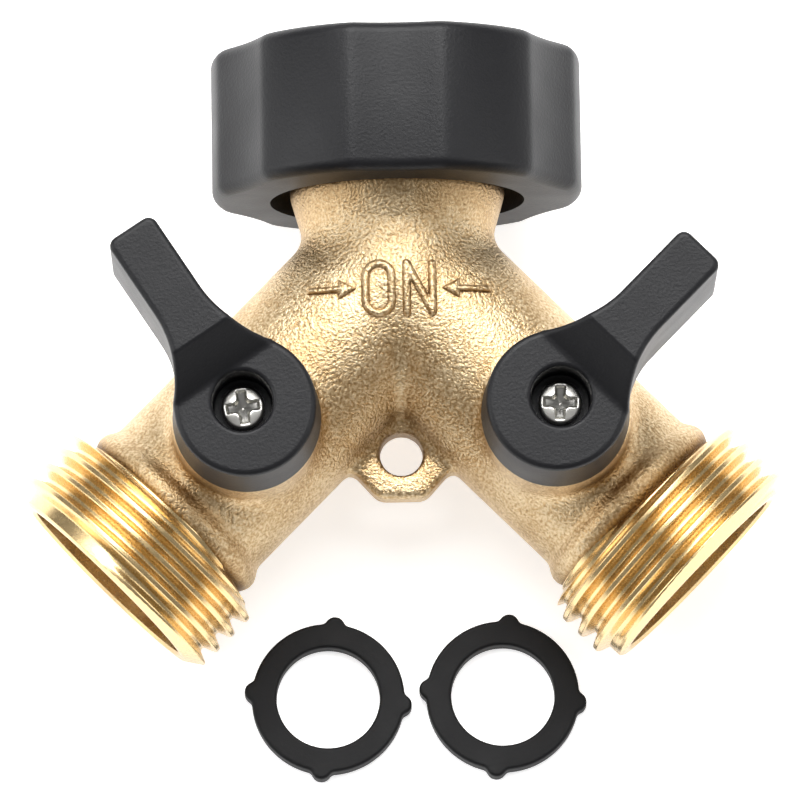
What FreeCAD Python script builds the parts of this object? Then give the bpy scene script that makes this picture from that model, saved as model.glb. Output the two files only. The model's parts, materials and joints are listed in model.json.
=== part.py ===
"""Two-way garden hose splitter lying on its back on a table, with its two spare washers.

Units are millimetres. The bench frame used while building has its origin where the two
arms and the inlet meet: X to the right, Y up the inlet, Z towards the levers. Each
sub-part is built in a simple frame of its own and its Placement carries it to the bench
frame and then to the lying position, where +Z is up.
"""
import FreeCAD, Part
import math
import os
import re
import Sketcher
from FreeCAD import Placement, Rotation, Vector

SIZES = {
    # water ways and arms, measured along an arm from the junction
    "arm_angle": 45.0,
    "arm_r": 10.25,
    "arm_end": 44.3,
    "way_r": 5.5,
    "stem_place": 23.0,
    "ball_r": 8.2,
    "port_r": 5.2,
    "seat_gap": 0.1,
    "ball_room": 0.55,
    "seat_reach": 7.4,
    "seat_lip": 3.2,
    "seat_bore_r": 5.3,
    "fit_gap": 0.05,
    "retainer_long": 5.0,
    "retainer_bore_r": 5.6,
    "spanner_slot": 2.2,
    "mouth_r": 10.6,
    "mouth_deep": 7.8,
    # collar bead and hose thread of an outlet
    "bead_place": 33.75,
    "bead_r": 1.75,
    "bead_ring_r": 9.3,
    "neck_groove": 35.9,
    "thread_root_r": 12.06,
    "thread_crest_r": 13.42,
    "thread_pitch": 2.209,
    "thread_crest_wide": 0.32,
    "thread_first": 36.75,
    "flank_angle": 30.0,
    "root_runout": 0.5,
    "overlap": 1.0,
    "end_chamfer": 0.7,
    # valve boss and stem
    "boss_r": 7.5,
    "boss_top": 17.2,
    "stem_r": 3.92,
    "stem_play": 0.08,
    "flange_out": 0.88,
    "flange_play": 0.2,
    "flange_bottom": 9.2,
    "flange_thick": 1.2,
    "washer_thick": 0.6,
    "tang_thick": 3.0,
    "tang_wide": 6.0,
    "tang_deep": 1.9,
    "slot_play": 0.1,
    "drive_square": 5.4,
    "drive_top": 20.2,
    "oring_wire_r": 0.75,
    "oring_lower": 12.9,
    "oring_upper": 15.4,
    "oring_groove_wide": 1.7,
    # lever and its screw
    "hub_r_front": 7.25,
    "hub_r_back": 7.7,
    "hub_shift": 0.55,
    "hub_back": 17.5,
    "hub_front": 27.0,
    "recess_r": 3.1,
    "recess_floor": 21.5,
    "socket_play": 0.1,
    "lever_long": 20.7,
    "lever_half": 2.75,
    "lever_corner": 1.0,
    "lever_front": 31.0,
    "lever_back": 15.0,
    "lever_step": 8.4,
    "ramp_start": 3.4,
    "flare_r": 12.0,
    "core_half": 1.3,
    "core_start": 9.5,
    "core_end": 18.6,
    "core_top": 28.5,
    "screw_head_r": 2.22,
    "screw_head_high": 1.5,
    "screw_r": 1.25,
    "screw_side": 0.6,
    "screw_shoulder": 1.275,
    "screw_crown_r": 1.776,
    "screw_flat_r": 1.0,
    "screw_long": 7.0,
    "screw_point_r": 0.75,
    "screw_point": 0.5,
    "cross_wide": 0.8,
    "cross_long": 2.7,
    "cross_deep": 0.9,
    "left_lever_turn": 123.0,
    "right_lever_turn": 45.0,
    # inlet neck, swivel tail and nut, measured up the inlet from the junction
    "neck_waist": 5.6,
    "neck_top_r": 11.4,
    "neck_shoulder": 9.6,
    "neck_top": 11.8,
    "spigot_r": 9.5,
    "spigot_start": 4.3,
    "neck_way_r": 7.0,
    "tail_r": 10.2,
    "tail_play": 0.2,
    "tail_way_r": 6.8,
    "swivel_play": 0.3,
    "lip_thick": 1.8,
    "tail_flange_thick": 1.2,
    "flange_passes": 0.25,
    "inlet_washer_thick": 2.8,
    "washer_grip": 0.25,
    "inlet_washer_hole_r": 8.0,
    "inlet_nub_half": 1.4,
    "inlet_nub_gap": 0.3,
    "relief_r": 13.6,
    "relief_top": 18.6,
    "nut_thread_minor_r": 12.25,
    "insert_wall": 1.9,
    "insert_top": 24.6,
    "key_wide": 3.0,
    "key_high": 0.8,
    "key_short": 1.0,
    "nut_bottom": 9.1,
    "nut_top": 24.9,
    "nut_r": 19.65,
    "nut_edge": 1.2,
    "nut_edge_cut": 0.36,
    "nut_hole_r": 13.5,
    "flute_r": 27.0,
    "flute_deep": 1.0,
    "flute_count": 6,
    # hanging tab, raised marking
    "tab_half": 5.0,
    "tab_half_thick": 2.0,
    "tab_straight": 20.2,
    "tab_end": 23.0,
    "tab_end_half": 2.6,
    "tab_hole_place": 18.3,
    "tab_hole_r": 2.27,
    "relief_high": 0.5,
    "mark_centre": -1.95,
    "mark_high": 6.1,
    "letter_wide": 3.6,
    "letter_stroke": 0.85,
    "letter_mitre": 1.36,
    "letter_gap": 0.7,
    "arrow_tip": 4.4,
    "arrow_tail": 9.7,
    "arrow_head": 2.0,
    "arrow_half": 1.15,
    "arrow_shaft_half": 0.35,
    # spare washers, placed in the lying frame from the junction
    "spare_r": 8.15,
    "spare_hole_r": 5.5,
    "spare_thick": 2.0,
    "spare_nub_out": 0.85,
    "spare_nub_half": 1.05,
    "spare_turn": -6.0,
    "spare_left_x": -8.15,
    "spare_right_x": 10.47,
    "spare_y": -40.9,
}

# what follows from the sizes above
FOLLOWS = {
    "cavity_r": "ball_r+ball_room",
    "tang_bottom": "ball_r-tang_deep",
    "stem_bore_r": "stem_r+stem_play",
    "oring_ring_r": "stem_bore_r-fit_gap-oring_wire_r",
    "flange_r": "stem_r+flange_out",
    "flange_pocket_r": "flange_r+flange_play",
    "flange_top": "flange_bottom+flange_thick",
    "flange_pocket_top": "flange_top+washer_thick+fit_gap",
    "lip_bore_r": "tail_r+tail_play",
    "lip_low": "neck_top+swivel_play",
    "tail_flange_r": "nut_thread_minor_r-flange_passes",
    "tail_flange_low": "lip_low+lip_thick+swivel_play",
    "tail_flange_top": "tail_flange_low+tail_flange_thick",
    "inlet_washer_r": "nut_thread_minor_r+washer_grip",
    "inlet_nub_r": "relief_r-inlet_nub_gap",
    "insert_r": "relief_r+insert_wall",
    "nut_bore_r": "insert_r+fit_gap",
    "key_top": "insert_top-key_short",
    "thread_flank": "(thread_crest_r-thread_root_r)*tan(flank_angle)",
    "groove_flank": "(relief_r-nut_thread_minor_r)*tan(flank_angle)",
    "mark_low": "mark_centre-mark_high/2",
    "mark_top": "mark_centre+mark_high/2",
    "arrow_neck": "arrow_tip+arrow_head",
    "flare_x": "sqrt((hub_r_front+flare_r)^2-(lever_half+flare_r)^2)-hub_shift",
    "flare_touch": "hub_r_front*(lever_half+flare_r)/(hub_r_front+flare_r)",
    "screw_top": "recess_floor+screw_head_high",
    "screw_tip": "recess_floor-screw_long",
}

QUARTER_TURN = 90
FULL_TURN = 360
STEEPEST_TILT = 45
HALVINGS = 60

doc = FreeCAD.newDocument("hose_splitter")
sheet = doc.addObject("Spreadsheet::Sheet", "Sizes")
for row, (alias, number) in enumerate(SIZES.items(), 1):
    sheet.set(f"A{row}", alias)
    sheet.set(f"B{row}", str(number))
    sheet.setAlias(f"B{row}", alias)
doc.recompute()


def size(alias):
    """A driving dimension as the sheet holds it."""
    return float(sheet.get(alias))


def bound(formula):
    """A formula over the sheet's aliases and what follows from them, written for setExpression."""

    def spelled(word):
        if word[0] in FOLLOWS:
            return f"({bound(FOLLOWS[word[0]])})"
        return "Sizes." + word[0] if word[0] in SIZES else word[0]

    return re.sub(r"[a-z]\w*", spelled, formula)


# ---------- frames ----------
INLET = Placement(Vector(), Rotation(Vector(1, 0, 0), Vector(0, 0, -1), Vector(0, 1, 0), "ZXY"))
ARM_TURN = math.radians(size("arm_angle"))


def arm_frame(side):
    """Frame of an arm (side -1 left, +1 right): Z along the arm, Y towards the levers."""
    along = Vector(side * math.sin(ARM_TURN), -math.cos(ARM_TURN), 0)
    up = Vector(0, 0, 1)
    return Placement(Vector(), Rotation(up.cross(along), up, along, "ZXY"))


def valve_frame(side, turn):
    """Frame of a valve: Z up its stem, X along its lever."""
    place = arm_frame(side).multVec(Vector(0, 0, size("stem_place")))
    return Placement(place, Rotation(Vector(0, 0, 1), turn))


def lying_pose():
    """The pose in which the nut's flute edges and the outlets' last crests lie on one plane."""
    cutter = size("nut_r") - size("flute_deep") + size("flute_r")
    edge = (cutter**2 + size("nut_r") ** 2 - size("flute_r") ** 2) / (2 * cutter)
    edge_place = size("nut_bottom") + size("nut_edge")
    last_crest = last_crest_place() * math.cos(ARM_TURN)
    crest_r = size("thread_crest_r")
    low, high = 0.0, math.radians(STEEPEST_TILT)
    for _ in range(HALVINGS):
        tilt = (low + high) / 2
        nut = edge * math.cos(tilt) - edge_place * math.sin(tilt)
        reach = math.hypot(math.cos(tilt), math.sin(tilt) * math.cos(ARM_TURN))
        outlet = last_crest * math.sin(tilt) + crest_r * reach
        if nut > outlet:
            low = tilt
        else:
            high = tilt
    return Placement(Vector(0, 0, outlet), Rotation(Vector(1, 0, 0), math.degrees(tilt)))


def crest_count():
    """Whole thread crests between the first one and the chamfered end."""
    last = size("arm_end") - size("end_chamfer") - size("thread_crest_wide") / 2
    return int((last - size("thread_first")) / size("thread_pitch")) + 1


def last_crest_place():
    """Place along the arm of the outer edge of the last crest."""
    reach = (crest_count() - 1) * size("thread_pitch")
    return size("thread_first") + reach + size("thread_crest_wide") / 2


# ---------- building blocks ----------
def place(item, at=("0", "0", "0"), turn=Rotation()):
    """Set an item at a formula-bound place of its frame."""
    item.Placement = Placement(Vector(), turn)
    for axis, formula in zip("xyz", at):
        if formula != "0":
            item.setExpression(f"Placement.Base.{axis}", bound(formula))
    return item


def cylinder(name, radius, length, at=("0", "0", "0"), turn=Rotation()):
    item = doc.addObject("Part::Cylinder", name)
    item.setExpression("Radius", bound(radius))
    item.setExpression("Height", bound(length))
    return place(item, at, turn)


def cone(name, start_radius, end_radius, length, at=("0", "0", "0"), turn=Rotation()):
    item = doc.addObject("Part::Cone", name)
    item.setExpression("Radius1", bound(start_radius))
    item.setExpression("Radius2", bound(end_radius))
    item.setExpression("Height", bound(length))
    return place(item, at, turn)


def ball(name, radius, at=("0", "0", "0")):
    item = doc.addObject("Part::Sphere", name)
    item.setExpression("Radius", bound(radius))
    return place(item, at)


def ring(name, ring_radius, wire_radius, at=("0", "0", "0")):
    item = doc.addObject("Part::Torus", name)
    item.setExpression("Radius1", bound(ring_radius))
    item.setExpression("Radius2", bound(wire_radius))
    return place(item, at)


def block(name, sizes, at):
    """A box of formula sizes with its lowest corner at a formula place."""
    item = doc.addObject("Part::Box", name)
    for key, formula in zip(("Length", "Width", "Height"), sizes):
        item.setExpression(key, bound(formula))
    return place(item, at)


def centred(name, wide, deep, low, high):
    """A box centred on the frame's Z axis, from one height to another."""
    corner = (f"-({wide})/2", f"-({deep})/2", low)
    return block(name, (wide, deep, f"({high})-({low})"), corner)


def join(name, items):
    fused = doc.addObject("Part::MultiFuse", name)
    fused.Shapes = items
    return fused


def cut(name, base, tools):
    """The base less one tool, or less several joined ones."""
    less = doc.addObject("Part::Cut", name)
    less.Base = base
    less.Tool = tools[0] if len(tools) == 1 else join(name + "_tools", tools)
    return less


def common(name, first, second):
    both = doc.addObject("Part::MultiCommon", name)
    both.Shapes = [first, second]
    return both


def outline(body, name, role, corners):
    """A closed sketch of straight lines whose corners are formula-bound coordinates."""
    sketch = body.newObject("Sketcher::SketchObject", name)
    plane = next(f for f in body.Origin.OriginFeatures if f.Role == role)
    sketch.AttachmentSupport = [(plane, "")]
    sketch.MapMode = "FlatFace"
    count = len(corners)
    step = 2 * math.pi / count
    loose = [Vector(math.cos(step * i), math.sin(step * i), 0) for i in range(count)]
    for i in range(count):
        sketch.addGeometry(Part.LineSegment(loose[i], loose[(i + 1) % count]), False)
    for i, corner in enumerate(corners):
        sketch.addConstraint(Sketcher.Constraint("Coincident", i, 2, (i + 1) % count, 1))
        for kind, formula, other_axis in zip(("DistanceX", "DistanceY"), corner, (-2, -1)):
            if formula == "0":
                sketch.addConstraint(Sketcher.Constraint("PointOnObject", i, 1, other_axis))
            else:
                index = sketch.addConstraint(Sketcher.Constraint(kind, -1, 1, i, 1, 1.0))
                sketch.setExpression(f"Constraints[{index}]", bound(formula))
    return sketch


def turned(name, corners):
    """A solid of revolution about Z from an outline of (radius, height) formulas."""
    body = doc.addObject("PartDesign::Body", name)
    sketch = outline(body, name + "_outline", "XZ_Plane", corners)
    spin = body.newObject("PartDesign::Revolution", name + "_turn")
    spin.Profile = sketch
    spin.ReferenceAxis = (sketch, ["V_Axis"])
    spin.Angle = FULL_TURN
    return body


def plate(name, role, corners, thick, both_ways=False):
    """An outline padded to a formula thickness."""
    body = doc.addObject("PartDesign::Body", name)
    sketch = outline(body, name + "_outline", role, corners)
    pad = body.newObject("PartDesign::Pad", name + "_pad")
    pad.Profile = sketch
    pad.Midplane = both_ways
    pad.setExpression("Length", bound(thick))
    return body


PARTS = {}


def part(node, item, pose):
    """Names an item as a finished sub-part and notes the pose that carries it to the bench frame."""
    item.Label = node
    PARTS[node] = (item, pose)


# ---------- casting ----------
def outlet_thread(side):
    """Thread of one outlet in its arm's frame: a chamfered core with rings at the thread's pitch."""
    core = turned(side + "_thread_core", [
        ("arm_r-fit_gap", "neck_groove-overlap"), ("arm_r", "neck_groove"),
        ("thread_root_r", "neck_groove+root_runout"), ("thread_root_r", "arm_end-end_chamfer/2"),
        ("thread_root_r-end_chamfer/2", "arm_end"), ("mouth_r", "arm_end"),
        ("mouth_r", "arm_end-mouth_deep+2*overlap"), ("cavity_r", "neck_groove-overlap")])
    rings = []
    for index in range(crest_count()):
        low = f"(thread_first+{index}*thread_pitch-thread_crest_wide/2)"
        high = f"(thread_first+{index}*thread_pitch+thread_crest_wide/2)"
        rings.append(turned(f"{side}_crest_{index}", [
            ("thread_root_r-root_runout", f"{low}-thread_flank"), ("thread_root_r", f"{low}-thread_flank"),
            ("thread_crest_r", low), ("thread_crest_r", high),
            ("thread_root_r", f"{high}+thread_flank"),
            ("thread_root_r-root_runout", f"{high}+thread_flank")]))
    return [core] + rings


def cast_arm(side, frame):
    """One arm of the casting, solid, in its own frame turned to its side."""
    tube = cylinder(side + "_arm_tube", "arm_r", "neck_groove")
    bead = ring(side + "_bead", "bead_ring_r", "bead_r", ("0", "0", "bead_place"))
    arm = join(side + "_arm", [tube, bead] + outlet_thread(side))
    arm.Placement = frame
    return arm


def arm_bores(side, frame):
    """Water way, ball cavity and mouth of one arm."""
    shoulder = "stem_place-seat_reach"
    way = cylinder(side + "_way", "way_r", "arm_end")
    cavity = cylinder(side + "_cavity", "cavity_r", f"arm_end-({shoulder})", ("0", "0", shoulder))
    mouth = cylinder(side + "_mouth", "mouth_r", "mouth_deep", ("0", "0", "arm_end-mouth_deep"))
    bores = join(side + "_bores", [way, cavity, mouth])
    bores.Placement = frame
    return bores


def stem_bores(side, frame):
    """Stem bore and flange pocket of one boss, in the valve's frame."""
    bore = cylinder(side + "_stem_bore", "stem_bore_r", "boss_top+overlap")
    pocket = cylinder(side + "_flange_pocket", "flange_pocket_r", "flange_pocket_top")
    bores = join(side + "_stem_bores", [bore, pocket])
    bores.Placement = frame
    return bores


def marking():
    """Raised ON between two arrows, following the curve of the casting."""
    left = "-letter_gap/2-letter_wide"
    wide, stroke, straight = "letter_wide", "letter_stroke", "mark_high-letter_wide"
    low, high = "mark_low", "mark_top"
    rise = "arm_r+relief_high+overlap"
    outer = [block("letter_o_slab", (wide, straight, rise), (left, f"{low}+{wide}/2", "0"))]
    inner = [block("letter_o_gap", (f"{wide}-2*{stroke}", straight, rise),
                   (f"{left}+{stroke}", f"{low}+{wide}/2", "0"))]
    for end, height in (("low", f"{low}+{wide}/2"), ("high", f"{high}-{wide}/2")):
        centre = (f"{left}+{wide}/2", height, "0")
        outer.append(cylinder("letter_o_round_" + end, f"{wide}/2", rise, centre))
        inner.append(cylinder("letter_o_hollow_" + end, f"{wide}/2-{stroke}", rise, centre))
    letter_o = cut("letter_o", join("letter_o_outer", outer), [join("letter_o_inner", inner)])
    near, far = "letter_gap/2", "letter_gap/2+letter_wide"
    letter_n = plate("letter_n", "XY_Plane", [
        (near, low), (f"{near}+{stroke}", low), (f"{near}+{stroke}", f"{high}-letter_mitre"),
        (f"{far}-{stroke}", low), (far, low), (far, high), (f"{far}-{stroke}", high),
        (f"{far}-{stroke}", f"{low}+letter_mitre"), (f"{near}+{stroke}", high), (near, high)], rise)
    arrows = []
    for name, sign in (("left_arrow", "-"), ("right_arrow", "")):
        arrows.append(plate(name, "XY_Plane", [
            (f"{sign}arrow_tip", "mark_centre"),
            (f"{sign}arrow_neck", "mark_centre+arrow_half"),
            (f"{sign}arrow_neck", "mark_centre+arrow_shaft_half"),
            (f"{sign}arrow_tail", "mark_centre+arrow_shaft_half"),
            (f"{sign}arrow_tail", "mark_centre-arrow_shaft_half"),
            (f"{sign}arrow_neck", "mark_centre-arrow_shaft_half"),
            (f"{sign}arrow_neck", "mark_centre-arrow_half")], rise))
    prisms = join("marks", [letter_o, letter_n] + arrows)
    skins = [cylinder("neck_skin", "arm_r+relief_high", "neck_waist", turn=INLET.Rotation)]
    for side, sign in (("left", -1), ("right", 1)):
        turn = arm_frame(sign).Rotation
        skins.append(cylinder(side + "_skin", "arm_r+relief_high", "stem_place", turn=turn))
    return common("raised_marks", prisms, join("mark_skin", skins))


def hanging_tab():
    """Flat tab between the arms, with its round hole."""
    leaf = plate("tab_leaf", "XY_Plane", [
        ("-tab_half", "-arm_r"), ("tab_half", "-arm_r"), ("tab_half", "-tab_straight"),
        ("tab_end_half", "-tab_end"), ("-tab_end_half", "-tab_end"), ("-tab_half", "-tab_straight")],
        "2*tab_half_thick", both_ways=True)
    spot = ("0", "-tab_hole_place", "-2*tab_half_thick")
    hole = cylinder("tab_hole", "tab_hole_r", "4*tab_half_thick", spot)
    return leaf, hole


def brass_body():
    neck = turned("neck", [
        ("0", "0"), ("arm_r", "0"), ("arm_r", "neck_waist"), ("neck_top_r", "neck_shoulder"),
        ("neck_top_r", "neck_top"), ("0", "neck_top")])
    neck.Placement = INLET
    leaf, hole = hanging_tab()
    solids = [neck, ball("junction", "arm_r"), leaf, marking()]
    hollows = [hole, ball("junction_way", "neck_way_r")]
    for name, sign, turn in (("left", -1, "left_lever_turn"), ("right", 1, "right_lever_turn")):
        valve = valve_frame(sign, size(turn))
        boss = cylinder(name + "_boss", "boss_r", "boss_top")
        boss.Placement = valve
        solids += [cast_arm(name, arm_frame(sign)), boss]
        hollows += [arm_bores(name, arm_frame(sign)), stem_bores(name, valve)]
    neck_way = cylinder("neck_way", "neck_way_r", "neck_top+overlap", turn=INLET.Rotation)
    socket = cylinder("spigot_socket", "spigot_r", "neck_top-spigot_start+overlap", turn=INLET.Rotation)
    socket.setExpression("Placement.Base.y", bound("spigot_start"))
    hollows += [neck_way, socket]
    part("brass_body", cut("casting", join("casting_solid", solids), hollows), Placement())


# ---------- swivel inlet ----------
def inlet_tail():
    """Flanged sleeve pressed into the neck, on which the nut turns."""
    part("inlet_tail", turned("tail", [
        ("tail_way_r", "spigot_start"), ("spigot_r-fit_gap", "spigot_start"),
        ("spigot_r-fit_gap", "neck_top"), ("tail_r", "neck_top"), ("tail_r", "tail_flange_low"),
        ("tail_flange_r", "tail_flange_low"), ("tail_flange_r", "tail_flange_top"),
        ("tail_way_r", "tail_flange_top")]), INLET)


def nut_insert():
    """Brass core of the nut: a lip behind the tail's flange, room for the washer, then the thread."""
    blank = cylinder("insert_blank", "insert_r", "insert_top-lip_low", ("0", "0", "lip_low"))
    key = centred("insert_keys", "2*(insert_r+key_high)", "key_wide", "lip_low", "key_top")
    lip = cylinder("insert_lip_bore", "lip_bore_r", "insert_top")
    relief = cylinder("insert_relief", "relief_r", "relief_top-(lip_low+lip_thick)",
                      ("0", "0", "lip_low+lip_thick"))
    thread_bore = cylinder("insert_thread_bore", "nut_thread_minor_r", "insert_top", ("0", "0", "relief_top"))
    mouth = cone("insert_mouth", "nut_thread_minor_r", "relief_r", "relief_r-nut_thread_minor_r",
                 ("0", "0", "insert_top-(relief_r-nut_thread_minor_r)"))
    hollows = [lip, relief, thread_bore, mouth]
    room = size("insert_top") - size("relief_top")
    for index in range(int(room / size("thread_pitch"))):
        low = f"(relief_top+{index}*thread_pitch+thread_pitch/2-thread_crest_wide/2)"
        high = f"(relief_top+{index}*thread_pitch+thread_pitch/2+thread_crest_wide/2)"
        hollows.append(turned(f"insert_groove_{index}", [
            ("nut_thread_minor_r-overlap", f"{low}-groove_flank"),
            ("nut_thread_minor_r", f"{low}-groove_flank"), ("relief_r", low), ("relief_r", high),
            ("nut_thread_minor_r", f"{high}+groove_flank"),
            ("nut_thread_minor_r-overlap", f"{high}+groove_flank")]))
    part("swivel_nut_insert", cut("insert", join("insert_solid", [blank, key]), hollows), INLET)


def nut_grip():
    """Plastic grip of the nut with its shallow flutes and rounded rims."""
    shell = turned("grip_shell", [
        ("nut_hole_r", "nut_bottom"), ("nut_r-nut_edge", "nut_bottom"),
        ("nut_r-nut_edge_cut", "nut_bottom+nut_edge_cut"), ("nut_r", "nut_bottom+nut_edge"),
        ("nut_r", "nut_top-nut_edge"), ("nut_r-nut_edge_cut", "nut_top-nut_edge_cut"),
        ("nut_r-nut_edge", "nut_top"), ("nut_bore_r", "nut_top"), ("nut_bore_r", "lip_low"),
        ("nut_hole_r", "lip_low")])
    slots = centred("grip_slots", "2*(insert_r+key_high+fit_gap)", "key_wide+2*fit_gap",
                    "lip_low", "key_top+fit_gap")
    cutters = [slots]
    for index in range(int(size("flute_count"))):
        turn = Rotation(Vector(0, 0, 1), QUARTER_TURN + FULL_TURN / size("flute_count") * index)
        cutter = cylinder(f"flute_{index}", "flute_r", "nut_top-nut_bottom+2*overlap")
        out = turn.multVec(Vector(size("nut_r") - size("flute_deep") + size("flute_r"), 0, 0))
        cutter.Placement = Placement(out + Vector(0, 0, size("nut_bottom") - size("overlap")), Rotation())
        cutters.append(cutter)
    part("swivel_nut_grip", cut("grip", shell, cutters), INLET)


def washer(name, outer, hole, thick, nub_out, nub_half, low):
    """A rubber washer with four nubs."""
    disc = cylinder(name + "_disc", outer, thick, ("0", "0", low))
    nubs = []
    across, along = f"2*({nub_out})", f"2*{nub_half}"
    for axis, wide, deep in (("x", across, along), ("y", along, across)):
        nubs.append(centred(f"{name}_nubs_{axis}", wide, deep, low, f"{low}+{thick}"))
    opening = cylinder(name + "_hole", hole, f"{thick}+2*overlap", ("0", "0", f"{low}-overlap"))
    return cut(name, join(name + "_solid", [disc] + nubs), [opening])


# ---------- valves ----------
def seats_and_retainer(side, frame):
    """Two plastic seats against the ball and the screwed ring that holds them."""
    for node, low, high in (("inner", "stem_place-seat_reach", "stem_place-seat_lip"),
                            ("outer", "stem_place+seat_lip", "stem_place+seat_reach")):
        name = f"{side}_{node}_seat"
        body = cylinder(name + "_ring", "cavity_r-fit_gap", f"({high})-({low})", ("0", "0", low))
        bore = cylinder(name + "_bore", "seat_bore_r", "arm_end")
        cup = ball(name + "_cup", "ball_r+seat_gap", ("0", "0", "stem_place"))
        part(name, cut(name, body, [bore, cup]), frame)
    name = side + "_seat_retainer"
    start = "stem_place+seat_reach"
    body = cylinder(name + "_ring", "cavity_r-fit_gap", "retainer_long", ("0", "0", start))
    bore = cylinder(name + "_bore", "retainer_bore_r", "arm_end")
    slot_floor = f"{start}+retainer_long-spanner_slot"
    slot = centred(name + "_slot", "3*cavity_r", "spanner_slot", slot_floor, "arm_end")
    part(name, cut(name, body, [bore, slot]), frame)


def valve_ball(side, frame):
    """Ball with its port along the lever and a slot across its top for the stem."""
    name = side + "_valve_ball"
    sphere = ball(name + "_sphere", "ball_r")
    along = Rotation(Vector(0, 1, 0), QUARTER_TURN)
    port = cylinder(name + "_port", "port_r", "4*ball_r", ("-2*ball_r", "0", "0"), along)
    slot = centred(name + "_slot", "tang_thick+2*slot_play", "3*ball_r", "tang_bottom-slot_play", "2*ball_r")
    part(name, cut(name, sphere, [port, slot]), frame)


def valve_stem(side, frame):
    """Stem put in from the inside: tang, flange, two seal grooves and a square drive end."""
    name = side + "_valve_stem"
    shaft = turned(name + "_shaft", [
        ("0", "flange_bottom"), ("flange_r", "flange_bottom"), ("flange_r", "flange_top"),
        ("stem_r", "flange_top"), ("stem_r", "hub_back"), ("0", "hub_back")])
    bar = centred(name + "_tang_bar", "tang_thick", "tang_wide", "tang_bottom", "flange_bottom")
    tang = common(name + "_tang", bar, cylinder(name + "_tang_round", "tang_wide/2", "hub_back"))
    drive = centred(name + "_drive", "drive_square", "drive_square", "hub_back", "drive_top")
    cuts = [cylinder(name + "_screw_hole", "screw_r+fit_gap", "hub_front", ("0", "0", "screw_tip-overlap"))]
    for level in ("oring_lower", "oring_upper"):
        spot = ("0", "0", f"{level}-oring_groove_wide/2")
        outer = cylinder(f"{name}_{level}_out", "boss_r", "oring_groove_wide", spot)
        core = cylinder(f"{name}_{level}_core", "oring_ring_r-oring_wire_r-fit_gap", "hub_front")
        cuts.append(cut(f"{name}_{level}_groove", outer, [core]))
    part(name, cut(name, join(name + "_solid", [shaft, tang, drive]), cuts), frame)


def stem_seals(side, frame):
    """Two O-rings on the stem and the thrust washer over its flange."""
    rings = [ring(f"{side}_oring_{level}", "oring_ring_r", "oring_wire_r", ("0", "0", level))
             for level in ("oring_lower", "oring_upper")]
    pair = doc.addObject("Part::Compound", side + "_stem_o_rings")
    pair.Links = rings
    part(side + "_stem_o_rings", pair, frame)
    name = side + "_thrust_washer"
    disc = cylinder(name + "_disc", "flange_pocket_r-2*fit_gap", "washer_thick",
                    ("0", "0", "flange_pocket_top-washer_thick"))
    hole = cylinder(name + "_hole", "stem_bore_r", "hub_back")
    part(name, cut(name, disc, [hole]), frame)


def lever(side, frame):
    """Quarter-turn lever: drafted hub, ramp up to a raised blade, recess for the screw, square socket."""
    name = side + "_lever"
    hub_spot = ("-hub_shift", "0", "hub_back")
    hub = cone(name + "_hub", "hub_r_back", "hub_r_front", "hub_front-hub_back", hub_spot)
    high = "lever_front-lever_back"
    half, corner, reach = "lever_half", "lever_corner", "lever_long"
    inner = f"({half}-{corner})"
    blade = [
        block(name + "_blade", (f"{reach}-{corner}", f"2*{half}", high), ("0", f"-{half}", "lever_back")),
        block(name + "_tip", (reach, f"2*{inner}", high), ("0", f"-{inner}", "lever_back"))]
    for end, sign in (("a", ""), ("b", "-")):
        spot = (f"{reach}-{corner}", f"{sign}{inner}", "lever_back")
        blade.append(cylinder(f"{name}_tip_{end}", corner, high, spot))
    web = block(name + "_web", ("flare_x-ramp_start", "2*flare_touch", high),
                ("ramp_start", "-flare_touch", "lever_back"))
    flares = []
    for end, sign in (("a", ""), ("b", "-")):
        spot = ("flare_x", f"{sign}(lever_half+flare_r)", "lever_back")
        flares.append(cylinder(f"{name}_flare_{end}", "flare_r", high, spot))
    arm = join(name + "_arm", blade + [cut(name + "_flared", web, flares)])
    rise = "lever_front-hub_front"
    side_view = plate(name + "_side_view", "XZ_Plane", [
        ("0", "hub_back"), ("lever_step", "hub_back"), ("lever_step+hub_back-lever_back", "lever_back"),
        ("lever_long", "lever_back"), ("lever_long", "lever_front"), (f"ramp_start+{rise}", "lever_front"),
        ("ramp_start", "hub_front"), ("0", "hub_front")], "4*hub_r_back", both_ways=True)
    solid = join(name + "_solid", [hub, common(name + "_profile", arm, side_view)])
    recess = cylinder(name + "_recess", "recess_r", "hub_front", ("0", "0", "recess_floor"))
    hole = cylinder(name + "_hole", "screw_r+fit_gap", "hub_front", ("0", "0", "hub_back-overlap"))
    socket = centred(name + "_socket", "drive_square+2*socket_play", "drive_square+2*socket_play",
                     "hub_back-overlap", "drive_top+socket_play")
    core = block(name + "_core", ("core_end-core_start", "2*core_half", "core_top-lever_back+overlap"),
                 ("core_start", "-core_half", "lever_back-overlap"))
    part(name, cut(name, solid, [recess, hole, socket, core]), frame)


def lever_screw(side, frame):
    """Pan-head screw with a cross recess."""
    name = side + "_lever_screw"
    shape = turned(name + "_blank", [
        ("0", "screw_tip"), ("screw_point_r", "screw_tip"), ("screw_r", "screw_tip+screw_point"),
        ("screw_r", "recess_floor"), ("screw_head_r", "recess_floor"),
        ("screw_head_r", "recess_floor+screw_side"), ("screw_crown_r", "recess_floor+screw_shoulder"),
        ("screw_flat_r", "screw_top"), ("0", "screw_top")])
    low, high = "screw_top-cross_deep", "screw_top+overlap"
    bars = [centred(name + "_cross_x", "cross_long", "cross_wide", low, high),
            centred(name + "_cross_y", "cross_wide", "cross_long", low, high)]
    part(name, cut(name, shape, bars), frame)


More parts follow.
